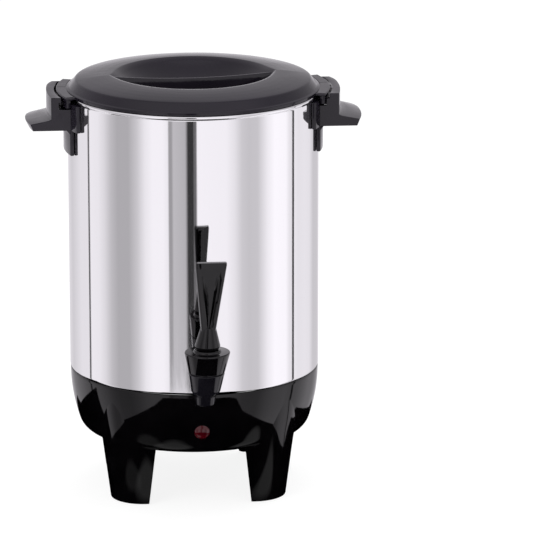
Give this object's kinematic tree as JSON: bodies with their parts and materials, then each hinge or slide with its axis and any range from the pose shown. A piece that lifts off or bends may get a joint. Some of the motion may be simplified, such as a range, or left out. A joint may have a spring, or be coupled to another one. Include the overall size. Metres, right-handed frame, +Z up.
{
  "type": "coffee urn",
  "caption": "Household coffee urn: polished steel pot on a black legged base, side handles, lift-off lid with a bar across its recess, and a lever tap.",
  "frame": {"origin": "where the pot's upright axis meets the surface the urn stands on", "axes": "+Z up along the pot's axis, the tap points to -Y, the handles lie along X"},
  "size_m": [0.256, 0.2625, 0.3195],
  "materials": {
    "polished_steel": "mirror polished stainless steel",
    "black_moulding": "gloss black moulding",
    "plain_steel": "plain zinc-bright steel",
    "cast_aluminium": "satin aluminium",
    "element_sheath": "darkened steel sheath",
    "ceramic": "cream ceramic",
    "phenolic": "dark phenolic moulding",
    "red_lens": "translucent red",
    "brass_pins": "plated brass",
    "wire_sleeve": "silicone sleeve",
    "seal_rubber": "food-grade silicone"
  },
  "bodies": {
    "urn": {"vessel": "polished_steel", "base_shell": "black_moulding", "base_plate": "plain_steel", "base_screws": "plain_steel", "clamp_stud": "plain_steel", "clamp_nut": "plain_steel", "shield_spacer": "plain_steel", "heat_shield": "plain_steel", "shield_nut": "plain_steel", "heater_plate": "cast_aluminium", "brew_element": "element_sheath", "warm_element": "ceramic", "thermostat": "phenolic", "thermal_fuse": "ceramic", "lamp_lens": "red_lens", "lamp_body": "ceramic", "lamp_nut": "black_moulding", "inlet_socket": "phenolic", "inlet_pins": "brass_pins", "inlet_screws": "plain_steel", "wiring": "wire_sleeve", "handle_left": "black_moulding", "handle_right": "black_moulding", "handle_screws": "plain_steel", "handle_washers": "seal_rubber", "coffee_basket": "cast_aluminium", "basket_cover": "cast_aluminium", "pump_tube": "cast_aluminium", "tap_body": "black_moulding", "tap_cap": "black_moulding", "tap_spring": "plain_steel", "tap_nut": "black_moulding", "tap_gasket_outer": "seal_rubber", "tap_gasket_inner": "seal_rubber"},
    "lid": {"lid": "black_moulding"},
    "lever": {"tap_lever": "black_moulding"},
    "stem": {"tap_stem": "plain_steel", "tap_seat": "seal_rubber", "lever_pin": "plain_steel"}
  },
  "joints": [
    {"name": "lid_lift", "type": "slide", "parent": "urn", "child": "lid", "axis": [0, 0, 1], "range_m": [0, 0.15]},
    {"name": "lever", "type": "hinge", "parent": "urn", "child": "lever", "pos_m": [0, -0.1566, 0.1436], "axis": [1, 0, 0], "range_deg": [0, 20], "stiffness_Nm_per_rad": 0.25, "springref_deg": -11.46},
    {"name": "stem_lift", "type": "slide", "parent": "urn", "child": "stem", "axis": [0, 0, 1], "range_m": [0, 0.00335], "stiffness_N_per_m": 200, "springref_m": -0.002, "deforming": ["tap_spring"]}
  ],
  "couplings": [
    {"joint": "lever", "follows": "stem_lift", "rad_per_m": 104.17}
  ]
}
